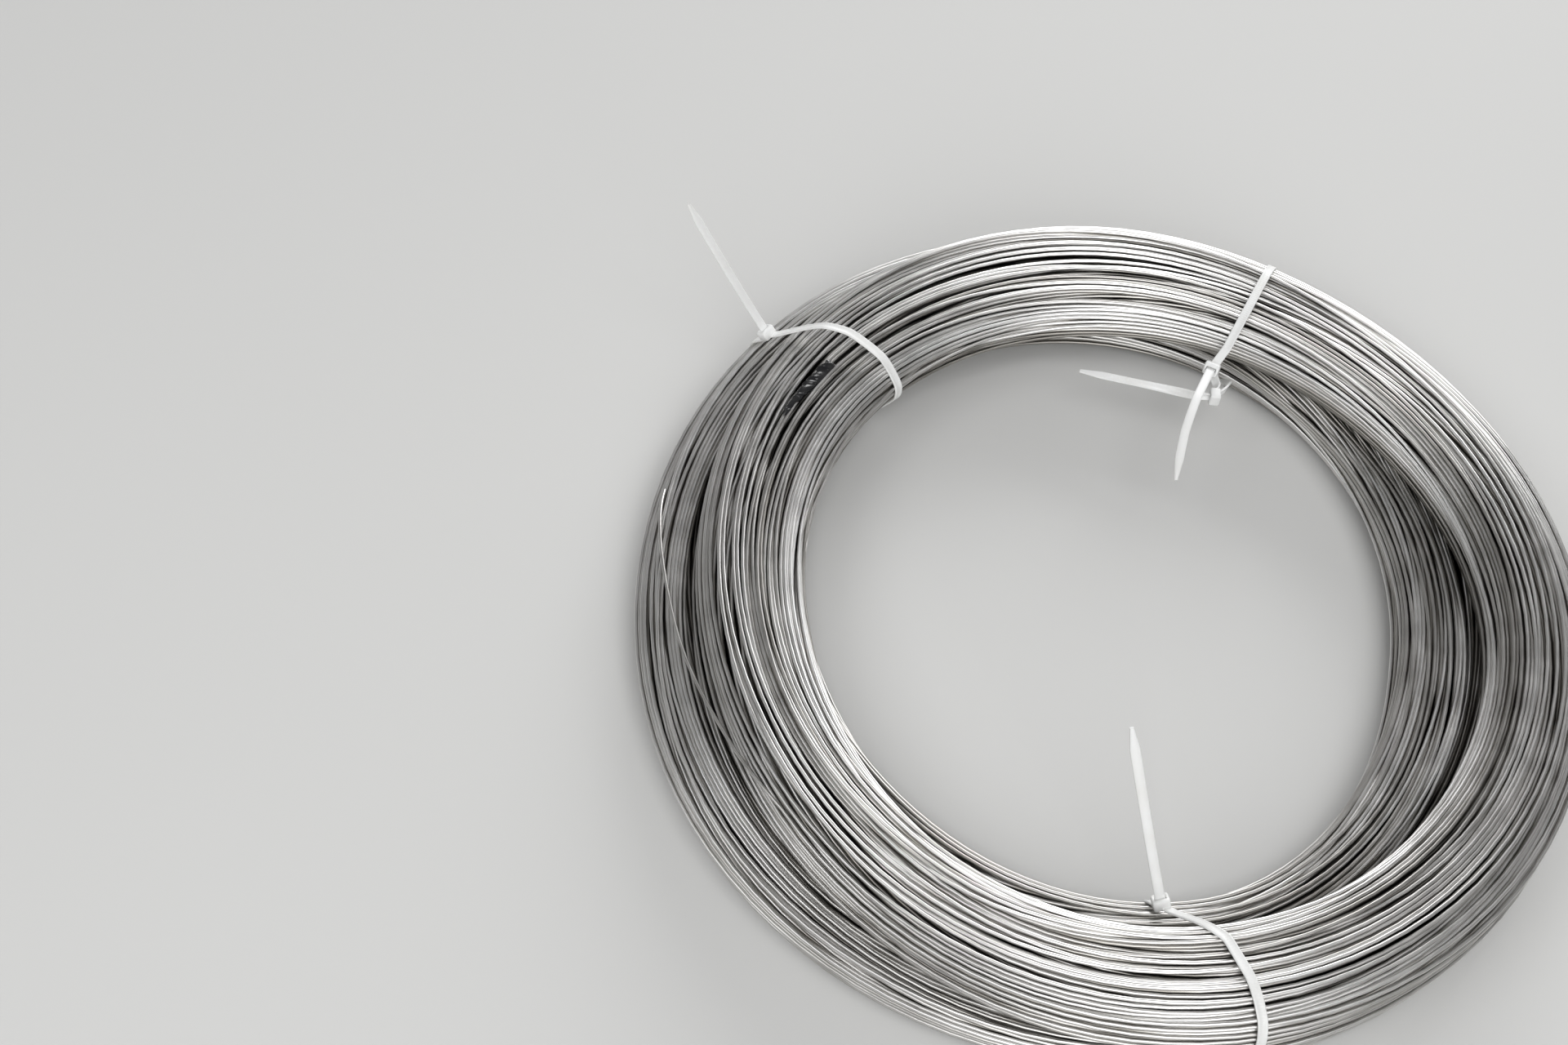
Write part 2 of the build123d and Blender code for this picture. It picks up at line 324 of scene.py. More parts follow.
turns = {
    "seed": 3,
    "wire": 2.0,  # diameter
    "pitch": 2.1,
    "stations": 96,  # rings of points round one turn
    "sides": 8,  # of the wire's section
    "layers": 3,
    "layerPitch": 0.88,  # from one layer to the next, in pitches
    "spread": 12.0,  # how far round the coil the outlines of its rings are evened out
    "fill": (0.88, 0.97, 0.97),  # share of each layer that is wire, from the outside in
    "drift": (3.0, 4.0, 4.0),  # how far strands wander sideways, in pitches
    "stray": (0.8, 0.5, 0.4),  # how far single turns wander from their strand
    "edgeHold": 6,  # turns wander less over one part in this many at each edge of the upper ring
    "sink": (0.9, 0.3, 0.2),  # how deep strands and single turns dip, in half diameters
    "singleSink": 0.4,  # the single turns' part in that, where the strands' part is 1
    "groove": 2.2,  # depth of the grooves between strands, which every layer follows
    "grooveWidth": 0.24,  # a groove runs where a noise is nearer to nought than about this
    "foot": 9.0,  # depth of the hollow in the lower ring, along each edge of the upper one
    "footWidth": 6.0,
    "blurs": {  # how far each noise is blurred along the wire and between turns beside each other, in turns
        "groove": (0.2, 4.0),
        "drift": (0.13, 5),
        "stray": (0.1, 0.4),
        "sink": (0.1, 2.5),
        "singleSink": (0.07, 0.4),
        "strandTone": (0.6, 1.6),
        "turnTone": (1.5, 0.2),
    },
    "tone": 0.74,
    "strandTone": 0.1,  # how much the tone changes from strand to strand
    "turnTone": 0.17,  # and from turn to turn
    "shade": 0.6,  # painted shade: how much duller the turns one diameter down are
    "shadeEnd": 1.5,  # how far down they get no duller, in diameters
    "hollow": 0.7,  # painted shade: how much duller turns are that few directions are open to
    "hollowStart": 0.8,  # share of the light below which they get duller
    "evened": (4, 1),  # how often the wire's bends are evened out, before and after settling
    "rounds": 100,  # of settling
    "searchRounds": 10,  # from one search for neighbours to the next
    "near": 1.7,  # how close neighbours are, in diameters
    "stiffness": 0.6,
    "kept": 0.995,  # share of its way that a turn keeps from round to round
    "pushes": 2,  # in a round
    "push": 0.42,  # share of an overlap by which each of the two gives way
    "outlook": (-20, 201, 20),  # the directions from which light may come: first, end and step
    "inWay": 0.75,  # how close to a line of sight another turn is in its way, in diameters
    "open": 0.9,  # how far ahead it may lie while the direction still counts as open
    "mostFaces": 190000,  # triangles in one piece
}

# the wide ring that lies on the floor
lowerRing = {
    "inner": {0: 152, 22: 157, 45: 167, 70: 177, 112: 179, 125: 177, 140: 172, 163: 158, 180: 152,
              -143: 151, -125: 156, -95: 163, -67: 165, -45: 155, -22: 148},
    "outer": {0: 239, 45: 243, 90: 245, 135: 243, 180: 239, -135: 244, -90: 239, -45: 241},
    "height": {0: 32, 65: 42, 90: 43, 138: 38, 180: 32, -80: 32},
    "grooveRows": 120,  # of noise across all its grooves
    "bend": 0.72,
    "span": (-90, 270),  # round the section
}

# the narrower ring on top of it, which leans over to one side
upperRing = {
    "middle": {0: 215, 46: 204, 90: 201, 138: 193, 165: 183, -169: 180, -140: 188, -110: 205, -77: 214,
               -40: 216},
    "half": {0: 25, 65: 33, 90: 38, 138: 31, 180: 26, -80: 26},
    "top": {0: 57, 65: 54, 90: 56, 138: 53, 180: 57, -80: 55},
    "rooted": 14,  # how far it reaches down into the lower ring
    "grooveRows": 60,
    "bend": 0.8,
    "span": (-28, 208),
}


def sectionPoints(share, middle, half, centre, high, bend, span):
    # a share (turns, stations) of the way round the section, to radius and height: the section at each
    # station is a superellipse, half * cos^bend and high * sin^bend, stepped along by its own length
    angle = np.radians(np.linspace(*span, 361))
    across = np.sign(np.cos(angle)) * np.abs(np.cos(angle)) ** bend
    upward = np.sign(np.sin(angle)) * np.abs(np.sin(angle)) ** bend
    across, upward = half[:, None] * across, high[:, None] * upward
    length = np.cumsum(np.hypot(np.diff(across), np.diff(upward)), axis=1)
    length = np.concatenate([np.zeros((len(half), 1)), length], axis=1)
    place = np.empty(share.shape + (2,))
    for k in range(share.shape[1]):
        along = share[:, k] * length[k, -1]
        place[:, k, 0] = middle[k] + np.interp(along, length[k], across[k])
        place[:, k, 1] = centre[k] + np.interp(along, length[k], upward[k])
    return place, length[:, -1]


def chainNoise(random, count, stations, along, across):
    # smooth noise that runs on from each turn into the next: white noise along the whole wire, blurred along
    # it (in turns) and between neighbouring turns (in turns beside each other)
    noise = random.standard_normal(count * stations)
    wave = np.fft.rfft(noise)
    wave *= np.exp(-0.5 * (2 * np.pi * np.arange(len(wave)) / len(noise) * along * stations) ** 2)
    noise = np.fft.irfft(wave, len(noise)).reshape(count, stations)
    wave = np.fft.rfft(noise, axis=0)
    wave *= np.exp(-0.5 * (2 * np.pi * np.arange(len(wave)) / count * across) ** 2)[:, None]
    noise = np.fft.irfft(wave, count, axis=0)
    return noise / noise.std()


def footHollow(values, place, edges, centre):
    # how far the top of the lower ring gives way beside the upper ring's edges: a bell curve across each
    aside = np.stack([place[..., 0] - edge for edge in edges])
    bell = np.exp(-(aside / values["footWidth"]) ** 2).max(axis=0)
    return values["foot"] * bell * np.clip(place[..., 1] / centre - 1, 0, 1)


def turnShares(values, layer, number, noise, closed):
    # how far round its layer each turn is at each station, as a share: even steps, with the wander of strands
    # and of single turns added
    count = values["stations"]
    share = (np.arange(number)[:, None] + np.arange(count) / count) / number
    shift = values["drift"][layer] * noise("drift", number)
    shift += values["stray"][layer] * noise("stray", number)
    if closed:
        return (share + shift / number) % 1
    hold = np.clip(np.minimum(share, 1 - share) * values["edgeHold"], 0, 1)
    share = np.clip(share + hold * shift / number, 0, 1)
    return 1 - share if layer % 2 else share


def grooveDepth(groove, share):
    # the grooves' depth at each share of the way round, on a straight line between the rows of their map on
    # either side: the last row is never quite reached, so there is always a next one
    row = np.clip(share * len(groove), 0, len(groove) - 1.001)
    low, part, station = row.astype(int), row % 1, np.arange(share.shape[1])
    return groove[low, station] * (1 - part) + groove[low + 1, station] * part


def layTurns(values, random, azimuth):
    # first places of all the turns, (turns, stations, 2) of radius and height, layer by layer in each ring:
    # where each turn's share of the way round its layer puts it, moved in by its dip and the groove there
    count, pitch, wire, spread = (values[key] for key in ("stations", "pitch", "wire", "spread"))

    def noise(kind, rows):
        # rows of smooth noise, one for each turn of a layer or each row of the grooves' map
        return chainNoise(random, rows, count, *values["blurs"][kind])

    inner, outer, lowHigh = (around(lowerRing[key], azimuth, spread) for key in ("inner", "outer", "height"))
    middle, half, top = (around(upperRing[key], azimuth, spread) for key in ("middle", "half", "top"))
    root = lowHigh - upperRing["rooted"]
    edges = (middle - half, middle + half)
    rings = [
        ((inner + outer) / 2, (outer - inner) / 2, lowHigh / 2, lowHigh / 2, lowerRing),
        (middle, half, (top + root) / 2, (top - root) / 2, upperRing),
    ]
    places, tones = [], []
    for middle, half, centre, high, ring in rings:
        shape = (ring["bend"], ring["span"])
        closed = ring["span"][1] - ring["span"][0] == 360
        lines = noise("groove", ring["grooveRows"])
        groove = values["groove"] * np.exp(-(lines / values["grooveWidth"]) ** 2)
        # the lower ring is laid from the outside in and the upper one from the inside out, so that the way
        # across is out of sight
        layers = range(values["layers"])
        for layer in layers if closed else reversed(layers):
            inset = wire / 2 + layer * pitch * values["layerPitch"]
            section = (middle, half - inset, centre, high - inset)
            _, length = sectionPoints(np.zeros((1, count)), *section, *shape)
            number = int(length.mean() / pitch * values["fill"][layer])
            share = turnShares(values, layer, number, noise, closed)
            place, _ = sectionPoints(share, *section, *shape)
            # straight out of an ellipse as wide and high as the section
            out = place - np.stack([middle, centre], -1)
            out = unit(out / np.stack([half - inset, high - inset], -1) ** 2)
            dip = noise("sink", number)
            dip += values["singleSink"] * noise("singleSink", number)
            dip = np.abs(dip) * values["sink"][layer] * wire / 2
            place -= out * (dip + grooveDepth(groove, share))[..., None]
            if closed:
                place[..., 1] -= footHollow(values, place, edges, centre)
            places.append(place)
            strand = values["strandTone"] * noise("strandTone", number)
            single = values["turnTone"] * noise("turnTone", number)
            tones.append(values["tone"] + strand + single)
    return np.concatenate(places), np.concatenate(tones)


def settleTurns(values, place):
    # turns that overlap push each other apart, while each stays on the floor and as smooth as stiff wire: in
    # each round, how a point has moved comes nearer to the mean of how the points beside it on the wire have
    number, count, _ = place.shape
    wire = values["wire"]
    wanted = place.reshape(-1, 2)
    flat = wanted.copy()
    for step in range(values["rounds"]):
        if step % values["searchRounds"] == 0:
            pairs = []
            for k in range(count):
                here = flat.reshape(number, count, 2)[:, k]
                gap = ((here[:, None] - here[None]) ** 2).sum(-1)
                one, other = np.nonzero(np.triu(gap < (values["near"] * wire) ** 2, 1))
                pairs.append((one * count + k, other * count + k))
            first, second = (np.concatenate(side) for side in zip(*pairs))
        moved = flat - wanted
        beside = (np.roll(moved, 1, axis=0) + np.roll(moved, -1, axis=0)) / 2
        moved += values["stiffness"] * (beside - moved)
        flat = wanted + values["kept"] * moved
        for _ in range(values["pushes"]):
            apart = flat[first] - flat[second]
            distance = np.linalg.norm(apart, axis=-1) + 1e-9
            apart *= (np.clip(wire - distance, 0, None) * values["push"] / distance)[:, None]
            for axis in range(2):
                flat[:, axis] += np.bincount(first, apart[:, axis], len(flat))
                flat[:, axis] -= np.bincount(second, apart[:, axis], len(flat))
        flat[:, 1] = np.maximum(flat[:, 1], wire / 2)
    return flat.reshape(place.shape)


def evenOut(place, times):
    # along the whole wire, each point moves halfway to the middle between the one before it and the next
    path = place.reshape(-1, 2).copy()
    for _ in range(times):
        path[1:-1] += (path[2:] - 2 * path[1:-1] + path[:-2]) / 4
    return path.reshape(place.shape)


def openTo(values, place):
    # in each of several directions, how far ahead the last turn in each turn's way is: the nearest of those
    # tells how deep the turn lies, in wire diameters, and how many directions are open how much light it gets
    wire = values["wire"]
    depth, light = np.full(place.shape[:2], np.inf), np.zeros(place.shape[:2])
    angles = np.radians(np.arange(*values["outlook"]))
    for angle in angles:
        ahead = place @ np.array([np.cos(angle), np.sin(angle)])
        aside = place @ np.array([-np.sin(angle), np.cos(angle)])
        for k in range(place.shape[1]):
            inWay = np.abs(aside[:, k, None] - aside[None, :, k]) < values["inWay"] * wire
            reach = np.where(inWay, ahead[None, :, k] - ahead[:, k, None], 0).max(axis=1)
            depth[:, k] = np.minimum(depth[:, k], reach)
            light[:, k] += max(np.sin(angle), 0) * (reach < values["open"] * wire)
    return depth / wire, light / np.clip(np.sin(angles), 0, None).sum()


def makeTurns(values, material):
    # tubes along the settled turns: each ring of points is a circle in the upright plane through the axis
    random = np.random.default_rng(values["seed"])
    count, sides, wire = values["stations"], values["sides"], values["wire"]
    azimuth = np.arange(count) * 360 / count
    place, tone = layTurns(values, random, azimuth)
    before, after = values["evened"]
    place = evenOut(settleTurns(values, evenOut(place, before)), after)
    depth, light = openTo(values, place)
    # painted shade, with some oxide: turns that lie deep, or that little light reaches, get a darker tone
    tone *= 1 - values["shade"] * np.clip(depth, 0, values["shadeEnd"])
    tone *= 1 - values["hollow"] * np.clip(values["hollowStart"] - light, 0, None)
    circle = wire / 2 * roundedSection(1, 1, 1, sides)
    perPiece = values["mostFaces"] // (2 * sides * count)
    pieces = []
    path, shades = place.reshape(-1, 1, 2), tone.reshape(-1, 1)
    for start in range(0, len(path), perPiece * count):
        # each piece reaches one ring of points into the next, so that the wire runs on
        run = slice(start, start + perPiece * count + 1)
        angle = np.resize(azimuth, len(path[run]))[:, None]
        points = ringPoints(angle, *np.moveaxis(path[run] + circle, -1, 0))
        shade = np.repeat(shades[run], sides, axis=1)
        name, faces = f"wire_turns_{len(pieces) + 1}", tubeFaces(len(points), sides)
        pieces.append(makePiece(name, points, faces, material, {"tone": shade}))
    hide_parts("wire_coil")
    print("wire made:", len(place), "turns in", len(pieces), "pieces")
    return place


turnPlaces = makeTurns(turns, wireMetal)


# Cable ties

tieShape = {
    "width": 4.8,
    "thickness": 1.3,
    "clear": 0.15,  # between the wire and the strap
    "aboveFloor": 0.1,
    "loopMiddle": (197.0, 27.0),  # radius and height of a place inside every loop
    "loopSpread": 4.5,  # how far round a loop its shape is evened out
    "tip": 12.0,  # length of the tapered end
    "tipWidth": 1.8,
    "step": 0.45,  # between rings of points
    "toothPitch": 1.35,
    "toothDepth": 0.35,
    "plain": (14, 6),  # lengths without teeth, at the start and before the tapered end
    "bend": 1.6,  # how far corners of the strap's path are rounded
    "leave": (5.5, 3.5),  # lengths beside the head over which the strap leaves its loop, at the start and end
    "root": 1.4,  # how high above the loop the strap starts, inside the head
    "rise": 0.8,  # and how high the foot of the head is
    "through": (-0.2, 3),  # and the two places between which the strap goes straight up into the head
    "tailPoints": 29,
    "headSides": 48,
    "headCorner": 0.3,  # how rounded its corners are: a superellipse's power
}

# the strap's section, as shares of its half width and of its half thickness, which counts outwards
strapSection = [(-1, -0.4), (-1, 0.4), (-0.86, 1), (0, 1), (0.86, 1), (1, 0.4), (1, -0.4), (0.88, -1),
                (0.62, -1), (0.56, -0.98), (-0.56, -0.98), (-0.62, -1), (-0.88, -1)]
toothCorners = (9, 10)  # those that the teeth are cut into

# the head's outside and slot, as half length, half width and height of each ring
headRings = [(3.1, 3.8, 0), (3.5, 4.2, 0.4), (3.5, 4.2, 4.5), (3.25, 3.95, 5.2), (2.8, 3.5, 5.5),
             (1.5, 3.0, 5.5), (1.0, 2.7, 4.9), (0.95, 2.65, 0.5), (1.2, 2.9, 0)]

loopTies = {
    "tie_upper_left": {
        "azimuths": {150: 132.2, 165: 133.5, 192: 136, 234: 141},  # by radius
        "headRadius": 233, "inwards": False,
        "arch": [(205, 62), (192, 64), (172, 57)],  # where the loose strap stands clear
        "tailTip": (-226.5, 171, 116),
        "tailBow": 4,  # how far the head is turned back from where the loop starts, which bows the tail
    },
    "tie_bottom": {
        "azimuths": {156: -85.5, 173: -84, 185: -80.5, 197: -77.8, 217: -76.4, 240: -76},
        "headRadius": 172, "inwards": True,
        "arch": [],
        "tailTip": (-9.7, -125.5, 122),
        "tailBow": 3,
    },
}


def turnsBeside(azimuths):
    # radius and height of every turn where a strap crosses it, along a line that gives an azimuth by radius:
    # each time round, the azimuth at a turn's radius gives a place on the turn, and so a better radius
    flat, count = turnPlaces.reshape(-1, 2), turnPlaces.shape[1]
    radii = sorted(azimuths)
    here = turnPlaces[:, 0]
    for _ in range(3):
        azimuth = np.interp(here[:, 0], radii, [azimuths[radius] for radius in radii])
        station = (azimuth % 360) / 360 * count
        index = np.arange(len(here)) * count + station.astype(int)
        share = (station % 1)[:, None]
        here = flat[index] * (1 - share) + flat[(index + 1) % len(flat)] * share
    return here


def tightLoop(tie, shape):
    # a strap pulled tight round the turns: for each direction, the line that just clears them all, and the
    # loop is the envelope of those lines, h * n + h' * t
    turnsHere = turnsBeside(tie["azimuths"])
    middle = np.array(shape["loopMiddle"])
    direction = np.arange(360) * np.pi / 180
    normal = np.stack([np.cos(direction), np.sin(direction)])
    reach = ((turnsHere - middle) @ normal).max(axis=0) + turns["wire"] / 2
    if tie["arch"]:
        reach = np.maximum(reach, ((np.array(tie["arch"]) - middle) @ normal).max(axis=0))
    wave = np.fft.rfft(reach + shape["clear"] + shape["thickness"] / 2)
    order = np.arange(len(wave))
    wave *= np.exp(-0.5 * (order * np.radians(shape["loopSpread"])) ** 2)
    reach, slope = np.fft.irfft(wave), np.fft.irfft(1j * order * wave)
    radius = middle[0] + reach * normal[0] - slope * normal[1]
    height = middle[1] + reach * normal[1] + slope * normal[0]
    height = np.maximum(height, shape["thickness"] / 2 + shape["aboveFloor"])
    radii = sorted(tie["azimuths"])
    azimuth = np.interp(radius, radii, [tie["azimuths"][value] for value in radii])
    return radius, height, azimuth


def evenPath(points, sides, step, bend):
    # points and side vectors set evenly along a path, with its corners rounded by a blur along it
    length = np.concatenate([[0], np.cumsum(np.linalg.norm(np.diff(points, axis=0), axis=1))])
    count = int(length[-1] / step) + 1
    even = np.linspace(0, length[-1], count)
    both = np.concatenate([points, sides], axis=1)
    both = np.stack([np.interp(even, length, column) for column in both.T], axis=1)
    reach = int(3 * bend / step)
    kernel = np.exp(-0.5 * (np.arange(-reach, reach + 1) * step / bend) ** 2)
    before, after = 2 * both[:1] - both[reach:0:-1], 2 * both[-1:] - both[-2:-reach - 2:-1]
    padded = np.concatenate([before, both, after])
    both = np.stack([np.convolve(column, kernel / kernel.sum(), "valid") for column in padded.T], axis=1)
    return both[:, :3], both[:, 3:], even


def strapMesh(points, sides, along, shape):
    # the strap's section carried along its path, with teeth on the inner face and a tapered tip
    ahead = unit(np.gradient(points, axis=0))
    sides = unit(sides - (sides * ahead).sum(-1, keepdims=True) * ahead)
    out = np.cross(ahead, sides)
    half, thick = shape["width"] / 2, shape["thickness"] / 2
    section = np.array(strapSection)
    left = along[-1] - along
    taper = np.interp(left, [0, shape["tip"]], [shape["tipWidth"] / shape["width"], 1])
    before, after = shape["plain"]
    toothed = (along > before) & (left > shape["tip"] + after)
    tooth = along / shape["toothPitch"] % 1 * shape["toothDepth"] * toothed
    cut = np.isin(np.arange(len(section)), toothCorners)
    across = section[:, 0] * half * taper[:, None]
    through = section[:, 1] * thick + cut * tooth[:, None]
    return points[:, None] + sides[:, None] * across[..., None] + out[:, None] * through[..., None]


def headMesh(base, along, side, out, shape):
    # rings of the head's outside and slot, each a box with rounded corners
    rings = []
    for halfLength, halfWidth, height in headRings:
        ring = roundedSection(halfLength, halfWidth, shape["headCorner"], shape["headSides"])
        rings.append(base + ring[:, :1] * along + ring[:, 1:] * side + height * out)
    return np.stack(rings)


def joinedMesh(parts):
    # several (points, faces) as one
    points = np.concatenate([part.reshape(-1, 3) for part, _ in parts])
    faces, first = [], 0
    for part, own in parts:
        faces += [[corner + first for corner in face] for face in own]
        first += part.size // 3
    return points, faces


def strapLoop(tie, shape):
    # the loop's points from the head round to the head again, with side vectors and the distance travelled
    radius, height, azimuth = tightLoop(tie, shape)
    loop = ringPoints(azimuth, radius, height)
    angle = np.radians(azimuth)
    side = np.stack([-np.sin(angle), np.cos(angle), 0 * angle], axis=1)
    # the head is at its radius in the upper half, and the loop ends in the point that it starts from
    fromHead = np.where(height > shape["loopMiddle"][1], np.abs(radius - tie["headRadius"]), np.inf)
    order = (int(fromHead.argmin()) + np.arange(len(loop) + 1)) % len(loop)
    if tie["inwards"]:
        order, side = order[::-1], -side
    loop, side = loop[order], side[order]
    return loop, side, np.concatenate([[0], np.cumsum(np.linalg.norm(np.diff(loop, axis=0), axis=1))])


def strapAndHeads(name, path, sides, heads, shape, material):
    # one tie: a strap along the path, and each head as its base, the strap's side there and its way through
    path, sides, along = evenPath(np.array(path, float), np.array(sides, float), shape["step"], shape["bend"])
    strap = strapMesh(path, sides, along, shape)
    parts = [(strap, tubeFaces(len(strap), strap.shape[1]))]
    for base, side, out in heads:
        side = unit(side - side @ out * out)
        head = headMesh(base, np.cross(side, out), side, out, shape)
        parts.append((head, tubeFaces(len(head), head.shape[1], True)))
    points, faces = joinedMesh(parts)
    piece = makePiece(name + "_strap_and_head", points, faces, material)
    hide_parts(name)


def makeLoopTie(name, tie, shape, material):
    # the strap goes round and out through its own head, and the tail is a parabola that starts straight out
    # of the head and ends at the tip
    loop, side, travelled = strapLoop(tie, shape)
    base, tip = loop[0], np.array(tie["tailTip"], float)
    length = np.linalg.norm(tip - base)
    out = unit(tip - base - unit(loop[3] - base) * tie["tailBow"])
    start, end = shape["leave"]
    clear = (travelled > start) & (travelled < travelled[-1] - end)
    into, foot = (base + out * height for height in shape["through"])
    lean = foot + out * length / 3
    share = np.linspace(0, 1, shape["tailPoints"] + 1)[1:, None]
    tail = (1 - share) ** 2 * foot + 2 * share * (1 - share) * lean + share ** 2 * tip
    path = np.concatenate([[base + out * shape["root"]], loop[clear], [into, foot], tail])
    sides = np.concatenate([[side[0]], side[clear], np.repeat([side[0]], len(tail) + 2, axis=0)])
    strapAndHeads(name, path, sides, [(base + out * shape["rise"], side[0], out)], shape, material)


for name, tie in loopTies.items():
    makeLoopTie(name, tie, tieShape, nylon)


# Two ties joined at the upper right: the long one goes round, and each tail goes through the other's head

joinedTies = {
    "azimuths": {150: 66.6, 165: 65.3, 190: 65, 240: 64.8},
    "headRadius": 153, "inwards": True,
    "arch": [(153, 43)],
    "longHeadOut": (-0.32, -0.70, 0.64),
    "leaveHeight": 22,  # where the returning strap leaves the bore's wall
    "longEnd": [(71, 143, 30), (71.5, 136, 36.5), (68.5, 128.5, 40.5), (62, 122.8, 40.5), (51.5, 123.8, 39.5),
                (35, 128.6, 38), (20, 133.2, 36), (5, 137.8, 34), (-9, 142, 32)],
    "longEndSides": [(0.75, -0.35, 0.4), (0.5, -0.2, 0.8), (0.1, 0, 1), (0, 0, 1), (0.12, 0.4, 0.9),
                     (0.28, 0.95, 0.2), (0.28, 0.95, 0), (0.28, 0.95, 0), (0.28, 0.95, 0)],
    "shortHead": (64.7, 122.9, 40.5),
    "shortHeadOut": (-0.98, 0.03, 0),
    "shortStart": [(63, 126.5, 40.3), (64.2, 131, 39.6), (63.5, 136.5, 38.6), (62, 140.6, 39.6)],
    "shortStartSides": [(0, 0, 1), (0.6, -0.3, 0.7), (0.92, -0.39, 0.2), (0.92, -0.39, 0)],
    "shortThrough": (-0.4, 3, 7),  # how far up the long tie's head the short one's strap is held straight
    "shortEnd": [(49.5, 113, 51.5), (45.6, 102, 51.6), (42, 91, 50), (39, 77, 47), (36.8, 64, 43.5)],
    "shortEndSide": (0.93, -0.36, 0),
}


def makeJoinedTies(values, shape, material):
    # the long strap goes round and leaves the bore's wall for the short tie's head, and the short strap goes
    # through the long one's: each path is its points in order
    loop, side, travelled = strapLoop(values, shape)
    base, out = loop[0], unit(np.array(values["longHeadOut"]))
    returning = (travelled > travelled[-1] / 2) & (loop[:, 2] > values["leaveHeight"])
    clear = (travelled > shape["leave"][0]) & ~returning
    path = [base + out * shape["root"], *loop[clear], *values["longEnd"]]
    sides = [side[0], *side[clear], *values["longEndSides"]]
    head = (base + out * shape["rise"], side[0], out)
    strapAndHeads("tie_upper_right_long", path, sides, [head], shape, material)
    through = [base + out * height for height in values["shortThrough"]]
    path = [*values["shortStart"], *through, *values["shortEnd"]]
    ending = [values["shortEndSide"]] * len(values["shortEnd"])
    sides = [*values["shortStartSides"], *([side[0]] * len(through)), *ending]
    way = unit(np.array(values["shortHeadOut"]))
    head = (np.array(values["shortHead"]), np.array([0, 0, 1.0]), way)
    strapAndHeads("tie_upper_right_short", path, sides, [head], shape, material)


makeJoinedTies(joinedTies, tieShape, nylon)
print("ties made")


# Tape round a few turns

tapeWrap = {
    "seed": 8,
    "azimuths": (153.8, 140.5),
    "radius": 189.5,
    "halfWidths": {0: 1.5, 0.75: 3.6, 1: 3.1},  # by share of its length
    "halfHeight": 2.2,
    "corner": 0.85,  # of its section: a superellipse's power
    "evened": 12,  # rings on each side that its height is evened out over
    "thinning": (10, 40),  # its two ends get thinner over one part in this many of its length
    "endWidth": 0.6,  # share of its width that is left there
    "endHeight": 0.5,
    "rings": 130,
    "sides": 36,
    "crease": 0.45,  # depth of the creases
    "creaseLength": 4.5,
    "creaseWidth": 0.9,
    "torn": 1.6,  # how unevenly the ends are torn
}


def surfaceHeight(azimuth, radius, reach):
    # the height of the highest turn within reach of each place, from the two stations beside it
    count = turnPlaces.shape[1]
    station = (np.asarray(azimuth) % 360) / 360 * count
    heights = []
    for index in (station.astype(int) % count, (station.astype(int) + 1) % count):
        near = np.abs(turnPlaces[:, index, 0] - radius) < reach
        heights.append(np.where(near, turnPlaces[:, index, 1], 0).max(axis=0))
    share = station % 1
    return heights[0] * (1 - share) + heights[1] * share


def smoothed(values, reach):
    # a running mean, with the ends held
    padded = np.concatenate([np.repeat(values[:1], reach), values, np.repeat(values[-1:], reach)])
    return np.convolve(padded, np.ones(2 * reach + 1) / (2 * reach + 1), "valid")


def makeTape(values, material):
    # a flat sleeve that follows the turns: the sharp creases are a half less the size of a noise that is
    # smooth aslant, so they run at half a right angle to the sleeve, whose way round is taken as four half
    # widths
    random = np.random.default_rng(values["seed"])
    rings, sides = values["rings"], values["sides"]
    azimuth = np.linspace(*values["azimuths"], rings)
    share = np.linspace(0, 1, rings)
    halfWidth = np.interp(share, list(values["halfWidths"]), list(values["halfWidths"].values()))
    height = smoothed(surfaceHeight(azimuth, values["radius"], max(halfWidth)), values["evened"])
    section = roundedSection(1, 1, values["corner"], sides)
    ringStep = values["radius"] * np.radians(abs(np.diff(values["azimuths"])[0])) / rings
    along = np.fft.fftfreq(rings, ringStep)[:, None]
    across = np.fft.fftfreq(sides, 4 * max(values["halfWidths"].values()) / sides)
    blur = ((along + across) * values["creaseLength"]) ** 2 + ((along - across) * values["creaseWidth"]) ** 2
    wave = np.fft.fft2(random.standard_normal((rings, sides))) * np.exp(-np.pi ** 2 * blur)
    noise = np.fft.ifft2(wave).real / np.fft.ifft2(wave).real.std()
    crease = values["crease"] * (0.5 - np.abs(noise))
    start, end = values["thinning"]
    ends = np.clip(np.minimum(share * start, (1 - share) * end), 0, 1)[:, None] ** 0.5
    width, thickness = (left + (1 - left) * ends for left in (values["endWidth"], values["endHeight"]))
    aside = (halfWidth[:, None] * width + crease) * section[:, 0]
    upward = (values["halfHeight"] * thickness + crease) * section[:, 1]
    angle = azimuth[:, None] + np.degrees(values["torn"] * noise / 2 * (1 - ends ** 4) / values["radius"])
    points = ringPoints(angle, values["radius"] + aside, height[:, None] + upward)
    piece = makePiece("tape_sleeve", points[::-1], tubeFaces(rings, sides), material)
    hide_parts("tape_wrap")


makeTape(tapeWrap, vinyl)
print("tape made")


# A turn that has come loose and crosses the others on the left

looseWire = {
    "diameter": 1.8,
    "tone": 0.5,
    "way": [(168, 236), (173, 233), (178, 228.5), (185, 223), (191, 220), (196, 217.5), (201, 215),
            (206, 213), (212, 212.5), (223, 211)],  # azimuth and radius
    "evened": 6,  # rings on each side that its way and height are evened out over
    "rests": 1.6,  # how far aside from it a turn can be that it lies on
    "above": 0.95,  # height of its middle over the middle of that turn, in diameters
    "tightenings": 400,  # rounds in which it rises wherever that makes it straighter
    "ends": 14,  # rings at each end that dive between the other turns
    "dive": 2,  # how deep, in diameters
    "sides": 10,
    "rings": 90,
}


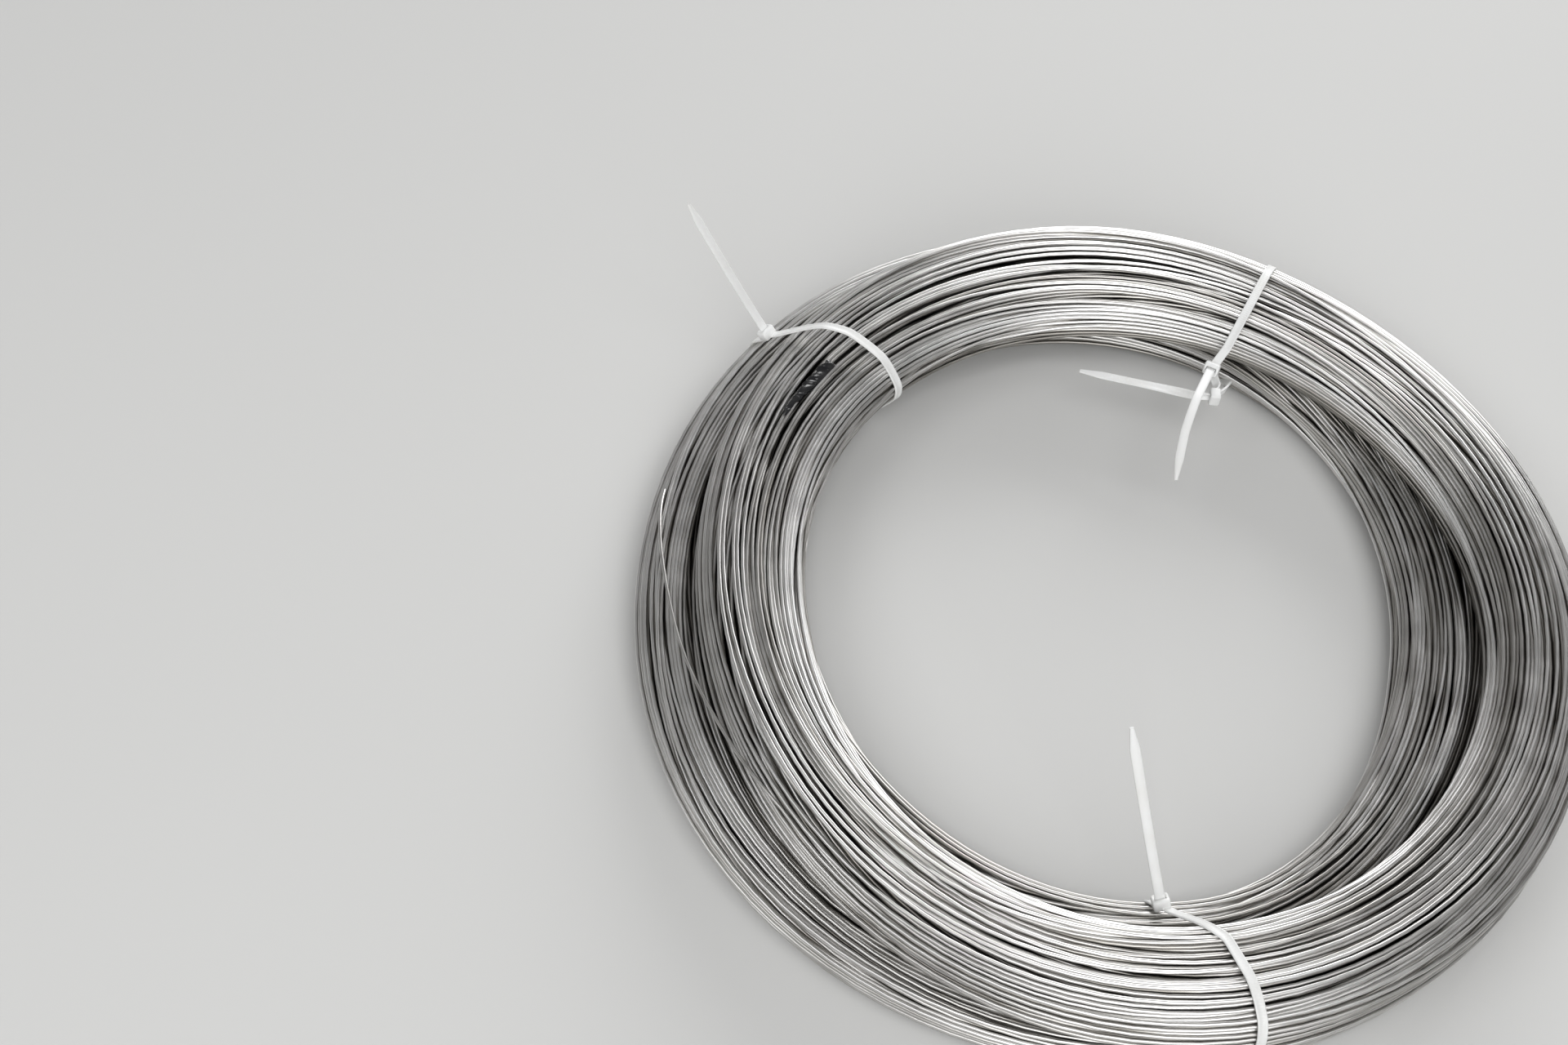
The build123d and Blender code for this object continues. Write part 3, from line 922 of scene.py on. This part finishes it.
def makeLooseWire(values, material):
    # a tube over the turns below it, held straight where it crosses the dip between the two rings
    azimuths, radii = np.array(values["way"], float).T
    azimuth = np.linspace(azimuths[0], azimuths[-1], values["rings"])
    radius = smoothed(np.interp(azimuth, azimuths, radii), values["evened"])
    height = surfaceHeight(azimuth, radius, values["rests"]) + values["above"] * values["diameter"]
    for _ in range(values["tightenings"]):
        height = np.maximum(smoothed(height, 2), height)
    height = smoothed(height, values["evened"])
    ends = values["ends"]
    dive = np.linspace(0, 1, ends) ** 2 * values["dive"] * values["diameter"]
    height[:ends] -= dive[::-1]
    height[-ends:] -= dive
    centre = ringPoints(azimuth, radius, height)
    ahead = unit(np.gradient(centre, axis=0))
    aside = unit(np.cross(ahead, [0, 0, 1.0]))
    circle = roundedSection(1, 1, 1, values["sides"]) * values["diameter"] / 2
    above = np.cross(aside, ahead)
    points = centre[:, None] + aside[:, None] * circle[:, :1] + above[:, None] * circle[:, 1:]
    shade = np.full(points.shape[:2], values["tone"])
    makePiece("wire_loose_turn", points, tubeFaces(*points.shape[:2]), material, {"tone": shade})


makeLooseWire(looseWire, wireMetal)
print("loose turn made")


# Floor and light

stage = {
    "floorRadius": 2000,
    "floorSides": 180,
    "floorColour": (0.68, 0.68, 0.67, 1),
    "floorRoughness": 0.8,
    "world": 0.17,
}


def makeStage(values):
    # a level disc, whose edge is the same from every side
    count = values["floorSides"]
    corners = ringPoints(np.arange(count) * 360 / count, values["floorRadius"], np.zeros(count))
    mesh = bpy.data.meshes.new("stageFloor")
    mesh.from_pydata((corners * mm).tolist(), [], [list(range(count))])
    floor = bpy.data.objects.new("stageFloor", mesh)
    bpy.context.scene.collection.objects.link(floor)
    material = bpy.data.materials.new("floorPaint")
    material.use_nodes = True
    shader = material.node_tree.nodes["Principled BSDF"]
    shader.inputs["Base Color"].default_value = values["floorColour"]
    shader.inputs["Roughness"].default_value = values["floorRoughness"]
    mesh.materials.append(material)
    world = bpy.data.worlds.new("stageWorld")
    world.use_nodes = True
    world.node_tree.nodes["Background"].inputs["Color"].default_value = (1, 1, 1, 1)
    world.node_tree.nodes["Background"].inputs["Strength"].default_value = values["world"]
    bpy.context.scene.world = world


# broad lamps, most of them in line with the camera: turns that cross that line shine, and those along it stay
# grey
lamps = {
    "left": {"place": (-1800, -750, 2280), "size": (1600, 1400), "watts": 17},
    "front": {"place": (450, -2800, 1700), "size": (1800, 1900), "watts": 40},
    "above": {"place": (300, -1050, 2400), "size": (2000, 1300), "watts": 22},
    "back": {"place": (1000, 3050, 1150), "size": (2800, 1700), "watts": 92},
}


def makeLamps(values):
    # each one faces the origin
    for name, lamp in values.items():
        data = bpy.data.lights.new("lamp" + name.capitalize(), "AREA")
        data.shape = "RECTANGLE"
        data.size, data.size_y = (side * mm for side in lamp["size"])
        data.energy = lamp["watts"]
        source = bpy.data.objects.new("lamp" + name.capitalize(), data)
        bpy.context.scene.collection.objects.link(source)
        place = Vector(lamp["place"]) * mm
        source.matrix_world = Matrix.Translation(place) @ place.to_track_quat("Z", "Y").to_matrix().to_4x4()


makeStage(stage)
makeLamps(lamps)
bpy.context.scene.view_settings.view_transform = "Standard"
